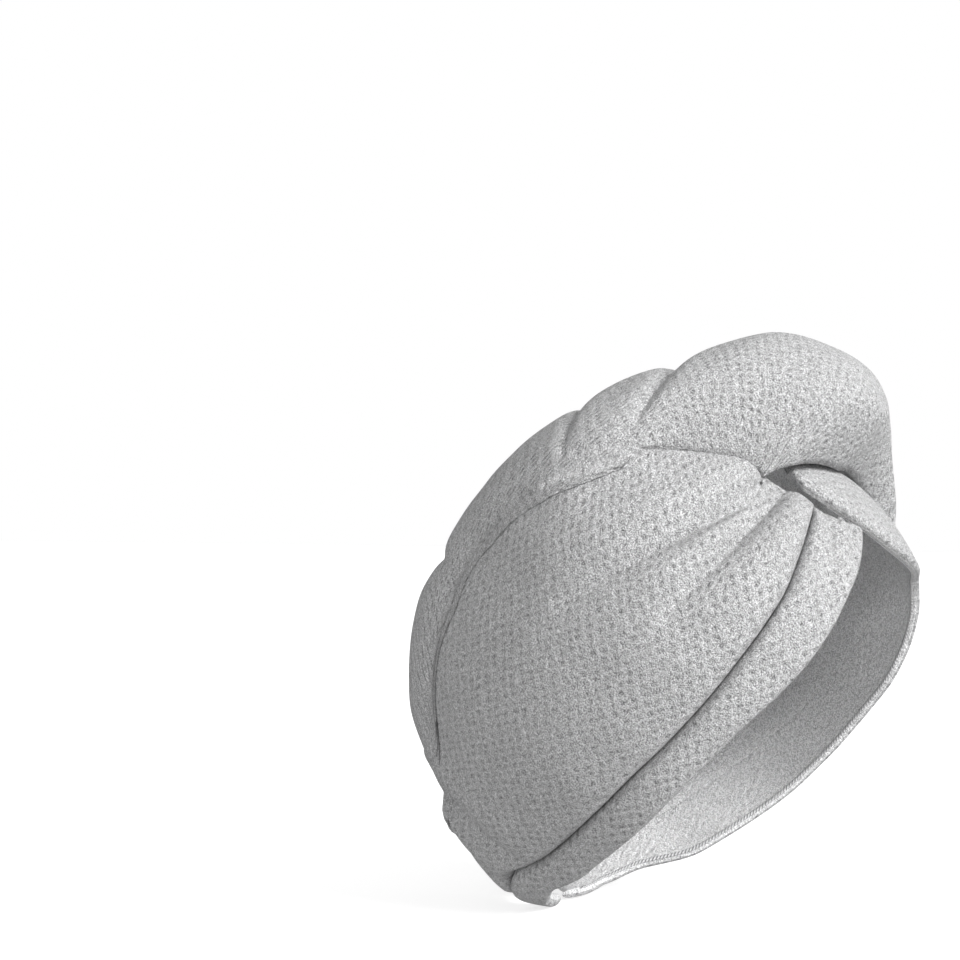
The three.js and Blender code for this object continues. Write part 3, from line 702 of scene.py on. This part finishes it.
@dataclass
class Tail:
    """The wound tail: a bundle in a fan of sections about a centre, laid over the hood from the twist to the nape.

    turn is each section's angle in degrees, right and left its two half widths, and lean and fall how far its right
    and left ends swing out of it. angle, crest and foot give the radius on and beside the bundle. A row of valleys is
    a turn, a depth, a half width in degrees, and the degrees that it slants over one hood radius. above_gap and
    below_gap keep the two faces off the hood.
    """

    name: str = "tail_cloth"
    centre: tuple = (0.0, 5.0, -91.0)
    rows: int = 330
    columns: int = 130
    turn: tuple = (35.5, 39, 43, 48, 55, 62, 69, 80, 93, 107, 121, 137, 152, 166, 175, 189, 197, 205, 216, 224, 232)
    right: tuple = (46, 50, 54, 59, 65, 71, 75, 78, 78, 76, 73, 70, 67, 67, 68, 65, 62, 58, 52, 46, 36)
    left: tuple = (62, 64, 66, 67, 68, 71, 75, 78, 78, 76, 73, 70, 67, 67, 68, 65, 62, 58, 52, 46, 36)
    lean: tuple = (4.5, 7.5, 8, 8.8, 9.1, 8.5, 7.5, 4.7, 2.3, 0, 0, 0, 0, 0, 0, 0, 0, 0, 0, 0, 0)
    fall: tuple = (26, 26, 25, 23, 20, 16, 12, 6, 3, 0, 0, 0, 0, 0, 0, 0, 0, 0, 0, 0, 0)
    angle: tuple = (
        5, 12, 20, 28, 35, 38.5, 43, 48, 55, 62, 69, 80, 93,
        107, 121, 137, 152, 166, 175, 189, 197, 205, 216, 224, 232,
    )
    crest: tuple = (
        114, 117, 118, 122, 128.5, 134.5, 141.5, 145, 143, 138, 127, 112, 102,
        94, 90, 88, 90, 94, 99, 106, 111, 116, 119, 122, 122,
    )
    foot: tuple = (86, 86, 87, 88, 88, 88, 87, 84, 79, 74, 70, 65, 61, 58, 56, 56, 58, 60, 62, 70, 76, 82, 92, 102, 112)
    valleys: tuple = ((80, 6.2, 2.7, 20), (106, 4.2, 2.5, 18), (166, 3.4, 3.4, 8))

    above_gap: float = 0.9
    below_gap: float = 0.35

    def build(self, skin: bpy.types.Object) -> bpy.types.Object:
        """Closed bundle. A section runs from its right end to its left end along a half ellipse between foot and
        crest, less a valley before each turn. What lies in the hood is then pushed out onto it.

        Args:
            skin: closed form of the hood's outer face, a little larger all round.
        Returns:
            The finished tail.
        """
        turn = self.turn[0] + (self.turn[-1] - self.turn[0]) * (np.linspace(0, 1, self.rows) ** 1.15)[:, None]
        s = -np.cos(np.pi * np.linspace(0, 1, self.columns))[None, :]
        s = 0.6 * s + 0.4 * np.linspace(-1, 1, self.columns)[None, :]
        right, left, lean, fall = (Line(self.turn, t)(turn) for t in (self.right, self.left, self.lean, self.fall))
        x = np.where(s < 0, s * right, s * left)
        angle = turn - np.where(s < 0, lean * s, fall * s**3)
        bulge = np.sqrt(np.maximum(1 - s * s, 0)) * dome(0.12 + (turn - self.turn[0]) / 5)
        foot, crest = Line(self.angle, self.foot)(angle), Line(self.angle, self.crest)(angle)
        radius = foot + (crest - foot) * bulge
        for at, deep, wide, slant in self.valleys:
            off = np.abs((turn - at - slant * x / FORM.radius) / wide)
            radius = radius - deep * np.exp(-(off**1.3)) * np.minimum(bulge * 1.5, 1)

        def fan(r: np.ndarray) -> np.ndarray:
            """Points of the fan at a radius."""
            a = np.radians(angle)
            y, z = self.centre[1] - r * np.cos(a), self.centre[2] + r * np.sin(a)
            return np.stack([self.centre[0] + x + 0 * r, y, z], -1)

        bare = fan(radius)
        radius = radius + (0.8 * ripple(bare, 55, 11) + 0.35 * ripple(bare, 22, 12)) * bulge
        outer, inner = fan(radius), fan(foot - 14)
        row = int(np.argmin(np.abs(turn[:, 0] - 60)))
        forward, across = gone(outer, 0), gone(outer, 1)
        cloth = np.stack([forward - forward[row], across - across[:, [self.columns // 2]]], -1)
        piece = shell(self.name, outer, inner, cloth, (OUTSIDE, OUTSIDE))
        everything = np.arange(len(piece.data.vertices))
        above = everything[: self.rows * self.columns]
        grid = above.reshape(self.rows, self.columns)[1:-1, 1:-1].ravel()
        below = np.setdiff1d(everything, grid)
        for label, chosen, off in (("above", grid, self.above_gap), ("below", below, self.below_gap)):
            group = piece.vertex_groups.new(name=label)
            group.add(chosen.tolist(), 1.0, "REPLACE")
            push = piece.modifiers.new(label, "SHRINKWRAP")
            push.target = skin
            push.wrap_method = "NEAREST_SURFACEPOINT"
            push.wrap_mode = "OUTSIDE"
            push.offset = off * MM
            push.vertex_group = label
        settled = bpy.data.meshes.new_from_object(piece.evaluated_get(bpy.context.evaluated_depsgraph_get()))
        piece.modifiers.clear()
        piece.vertex_groups.clear()
        piece.data = settled
        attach(piece, "root")
        return piece

    def dress(self, skin: bpy.types.Object) -> bpy.types.Object:
        piece = self.build(skin)
        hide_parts("tail")
        return piece


@dataclass
class NapeButton:
    """Button that holds the end of the tail: a disc with a rolled edge and a shallow dish."""

    name: str = "nape_button_disc"
    radius: float = 9.0
    thick: float = 3.0

    def build(self) -> bpy.types.Object:
        """Turned profile: a dish, a round rim and a flat back, swept round the button's own axis."""
        seat, out = (FORM.place(np.float64(0.3), np.float64(90), CLOTH.rest + CLOTH.thick + h, 1) for h in (1.2, 20))
        seat[0] = 0
        axis = out - seat
        axis[0] = 0
        axis /= np.linalg.norm(axis)
        side = np.array([1.0, 0, 0])
        third = np.cross(axis, side)
        share = np.linspace(0, 1, 28)[None, :]
        around = np.linspace(0, 2 * np.pi, 73)[:-1, None]
        r = self.radius * np.minimum(share / 0.92, 1)
        lift = self.thick * (0.72 + 0.28 * ease((share - 0.45) / 0.2)) * dome((1 - share) / 0.12 + 0.02)
        points = (
            seat
            + (r * np.cos(around))[..., None] * side
            + (r * np.sin(around))[..., None] * third
            + (lift + 0 * around)[..., None] * axis
        )
        count, rings = points.shape[:2]
        index = np.arange(count * rings).reshape(count, rings)
        following = np.roll(index, -1, axis=0)
        quads = np.stack([index[:, 1:-1], following[:, 1:-1], following[:, 2:], index[:, 2:]], -1).reshape(-1, 4)
        quads = quads[:, ::-1]
        flat = (points * MM).reshape(-1, 3)
        mesh = bpy.data.meshes.new(self.name)
        crown = [[int(i) for i in index[:, 1]]]
        back = [[int(i) for i in index[::-1, -1]]]
        mesh.from_pydata(flat, [], quads.tolist() + crown + back)
        mesh.materials.append(ButtonFinish().material())
        mesh.update()
        piece = bpy.data.objects.new(self.name, mesh)
        bpy.context.scene.collection.objects.link(piece)
        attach(piece, "root")
        return piece

    def dress(self) -> bpy.types.Object:
        """Build the button and let it stand for its node."""
        piece = self.build()
        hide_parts("nape_button")
        return piece


@dataclass
class HoodSkin:
    """Closed form of the hood's outer face, which the tail is laid on. It is taken away afterwards."""

    panels: tuple
    rows: int = 150
    columns: int = 361

    def build(self) -> bpy.types.Object:
        """Both halves at the height of their outer face, from the brim on one side over the seam to the other."""
        along = (0.5 - 0.5 * np.cos(np.pi * np.linspace(0.01, 0.995, self.rows)))[:, None]
        full = np.linspace(-90, 270, self.columns)[None, :-1]
        along, full = np.broadcast_arrays(along, full)
        total = np.zeros((self.rows, self.columns - 1, 3))
        for panel in self.panels:
            half = panel.side.value
            angle = full if half > 0 else 180 - full
            mine = angle <= 90
            crease = Line(panel.lower.along, panel.lower.angle)(along)
            arc = np.radians(1) * FORM.round_radius(along)
            low = np.maximum((angle - crease) * arc, 0)
            p = FORM.on_head(along, angle, half)
            outer, _ = panel.heights(along, angle, low, low * 0 + 50, p)
            outer = np.where(angle > crease, outer, CLOTH.rest + 5.0)
            total = np.where(mine[..., None], FORM.place(along, angle, outer, half), total)
        index = np.arange(along.size).reshape(along.shape)
        following = np.roll(index, -1, axis=1)
        quads = np.stack([index[:-1], index[1:], following[1:], following[:-1]], -1).reshape(-1, 4)
        points = total.reshape(-1, 3) * MM
        a, b, c, d = (points[quads[:, k]] for k in range(4))
        if ((a * np.cross(b, c)).sum() + (a * np.cross(c, d)).sum()) < 0:
            quads = quads[:, ::-1]
        mesh = bpy.data.meshes.new("hood_skin")
        ends = [[int(i) for i in index[0]], [int(i) for i in index[-1][::-1]]]
        mesh.from_pydata(points, [], quads.tolist() + ends)
        mesh.update()
        skin = bpy.data.objects.new("hood_skin", mesh)
        bpy.context.scene.collection.objects.link(skin)
        return skin


@dataclass
class Studio:
    """Pale floor, soft light and the camera of the photograph."""

    floor_height: float = -221.3
    eye: tuple = (-919.24, -390.20, -38.66)
    yaw: float = 27.489
    pitch: float = 0.374
    lens: float = 85.0
    ambient: float = 0.46
    lamps: tuple = (("key_lamp", -10.0, 29.0, 4.1, 30.0), ("fill_lamp", -70.0, 7.0, 1.5, 30.0))

    def floor(self) -> None:
        """Wide pale floor under the nape."""
        reach = 6.0
        z = self.floor_height * MM
        mesh = bpy.data.meshes.new("studio_floor")
        corners = [(-reach, -reach, z), (reach, -reach, z), (reach, reach, z), (-reach, reach, z)]
        mesh.from_pydata(corners, [], [(0, 1, 2, 3)])
        made = bpy.data.materials.new("pale_floor")
        made.use_nodes = True
        shader = made.node_tree.nodes["Principled BSDF"]
        shader.inputs["Base Color"].default_value = (0.93, 0.93, 0.93, 1)
        shader.inputs["Roughness"].default_value = 0.16
        shader.inputs["Specular IOR Level"].default_value = 0.25
        shader.inputs["Emission Color"].default_value = (1, 1, 1, 1)
        shader.inputs["Emission Strength"].default_value = 0.55
        mesh.materials.append(made)
        floor = bpy.data.objects.new("studio_floor", mesh)
        floor.visible_diffuse = False
        bpy.context.scene.collection.objects.link(floor)

    def light(self) -> None:
        """White surround, a soft key lamp from the upper right of the camera and a weaker one from beside it."""
        world = bpy.data.worlds.new("studio_surround")
        world.use_nodes = True
        tree = world.node_tree
        seen = tree.nodes["Background"]
        seen.inputs["Color"].default_value = (1, 1, 1, 1)
        seen.inputs["Strength"].default_value = 1.0
        soft = tree.nodes.new("ShaderNodeBackground")
        soft.inputs["Color"].default_value = (1, 1, 1, 1)
        soft.inputs["Strength"].default_value = self.ambient
        path, mix = tree.nodes.new("ShaderNodeLightPath"), tree.nodes.new("ShaderNodeMixShader")
        tree.links.new(path.outputs["Is Camera Ray"], mix.inputs[0])
        tree.links.new(soft.outputs[0], mix.inputs[1])
        tree.links.new(seen.outputs[0], mix.inputs[2])
        tree.links.new(mix.outputs[0], tree.nodes["World Output"].inputs["Surface"])
        bpy.context.scene.world = world
        bpy.context.scene.view_settings.view_transform = "Standard"
        for name, azimuth, height, strength, spread in self.lamps:
            data = bpy.data.lights.new(name, "SUN")
            data.energy, data.angle = strength, math.radians(spread)
            lamp = bpy.data.objects.new(name, data)
            a, e = math.radians(azimuth), math.radians(height)
            toward = Vector((math.sin(a) * math.cos(e), -math.cos(a) * math.cos(e), math.sin(e)))
            lamp.rotation_euler = (-toward).to_track_quat("-Z", "Y").to_euler()
            bpy.context.scene.collection.objects.link(lamp)

    def camera(self) -> None:
        """Camera at the photograph's place: level to within half a degree, with an 85 mm lens."""
        data = bpy.data.cameras.new("camera")
        data.lens, data.sensor_width = self.lens, 36.0
        data.clip_start, data.clip_end = 0.01, 50
        eye = bpy.data.objects.new("camera", data)
        eye.location = [v * MM for v in self.eye]
        a, e = math.radians(self.yaw), math.radians(self.pitch)
        look = Vector((math.cos(a) * math.cos(e), math.sin(a) * math.cos(e), math.sin(e)))
        eye.rotation_euler = look.to_track_quat("-Z", "Y").to_euler()
        bpy.context.scene.collection.objects.link(eye)
        bpy.context.scene.camera = eye

    def build(self) -> None:
        """Floor, light and camera."""
        self.floor()
        self.light()
        self.camera()


RIGHT_FOLDS = (
    Fold((0.7, -10.5), (0.83, -14.5), (0.958, -17.8), 0.3, 10.0, 4.0, 1.1),
    Fold((0.62, 12), (0.8, -1.0), (0.958, -13), 0.3, 10.0, 4.6, 1.1),
    Fold((0.76, -22), (0.85, -24), (0.955, -25), -0.6, -3.4, 8.0, 2.0),
    Fold((0.74, -4), (0.84, -9), (0.955, -15.4), -0.6, -3.0, 5.0, 2.0),
    Fold((0.68, 22), (0.8, 9), (0.955, -5), -0.6, -3.0, 8.0, 2.0),
    Fold((0.17, 48), (0.15, 22), (0.17, -6), 7.0, 2.0, 4.0, 1.1),
    Fold((0.21, 50), (0.2, 25), (0.21, 2), -3.5, -1.0, 9.0, 2.0),
    Fold((0.115, 42), (0.1, 20), (0.115, 3), -4.0, -2.0, 6.5, 2.0),
    Fold((0.08, 36), (0.06, 20), (0.062, -6), 4.0, 2.0, 3.0, 1.2),
    Fold((0.09, -4), (0.12, -11), (0.185, -19), 2.6, 0.6, 3.0, 1.2),
)
LEFT_FOLDS = (
    Fold((0.62, -8), (0.78, -14), (0.945, -19), 0.3, 8.0, 4.6, 1.1),
    Fold((0.7, 22), (0.82, 6), (0.945, -12), 0.3, 8.0, 5.0, 1.1),
    Fold((0.7, 6), (0.82, -5), (0.945, -15.5), -0.5, -2.5, 6.0, 2.0),
    Fold((0.16, 52), (0.14, 24), (0.18, -5), 6.5, 1.8, 4.2, 1.1),
    Fold((0.2, 52), (0.19, 26), (0.22, 2), -3.2, -1.0, 9.0, 2.0),
    Fold((0.11, 44), (0.1, 20), (0.12, 4), -3.5, -1.5, 6.5, 2.0),
    Fold((0.07, 40), (0.06, 20), (0.065, -4), 3.6, 1.6, 3.0, 1.2),
)
BRIM_FOLDS = (
    Fold((0.86, -43), (0.92, -43), (0.96, -38), 0.2, 3.4, 2.6, 1.2),
    Fold((0.88, -50), (0.93, -50), (0.962, -50), 0.2, 2.6, 2.2, 1.2),
)


def count_triangles(piece: bpy.types.Object) -> int:
    """Triangles of a piece's own mesh."""
    return sum(len(p.vertices) - 2 for p in piece.data.polygons)


def main() -> None:
    """Build each sub-assembly in order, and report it."""
    logging.basicConfig(level=logging.INFO, format="%(name)s: %(message)s")
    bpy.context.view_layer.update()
    right = Panel(
        "right_panel_cloth", Side.RIGHT, CREASE, SEAM, 236, 196, Hold.GATHERED, (0.2, 0.24), 0.0, 0.7, folds=RIGHT_FOLDS
    )
    left = Panel(
        "left_panel_cloth", Side.LEFT, LEFT_SIDE_CREASE, SEAM, 180, 150, Hold.GATHERED, (0.2, 0.24), 0.0, 0.6,
        folds=LEFT_FOLDS,
    )
    right_brim = Brim(
        "right_brim_cloth", Side.RIGHT, RIM, CREASE, 300, 60, Hold.FOLDED, (0.03, 0.25), 0.0, 0.5, roll=7.0,
        folds=BRIM_FOLDS,
    )
    left_brim = Brim(
        "left_brim_cloth", Side.LEFT, LEFT_RIM, LEFT_CREASE, 360, 60, Hold.FOLDED, (0.03, 0.33), 0.0, 0.5, roll=4.5
    )
    skin = HoodSkin((right, left)).build()
    made = [
        right.dress(("right_panel",)),
        left.dress(("left_panel",)),
        right_brim.dress(("right_brim",)),
        left_brim.dress(("left_brim",)),
        Tail().dress(skin),
        NapeButton().dress(),
        RimOverlock("left_rim_overlock", Side.LEFT, LEFT_RIM, LEFT_CREASE).build(),
    ]
    bpy.data.objects.remove(skin)
    for piece in made:
        LOG.info("%s: %d triangles", piece.name, count_triangles(piece))
    Studio().build()


if __name__ == "__main__":
    main()
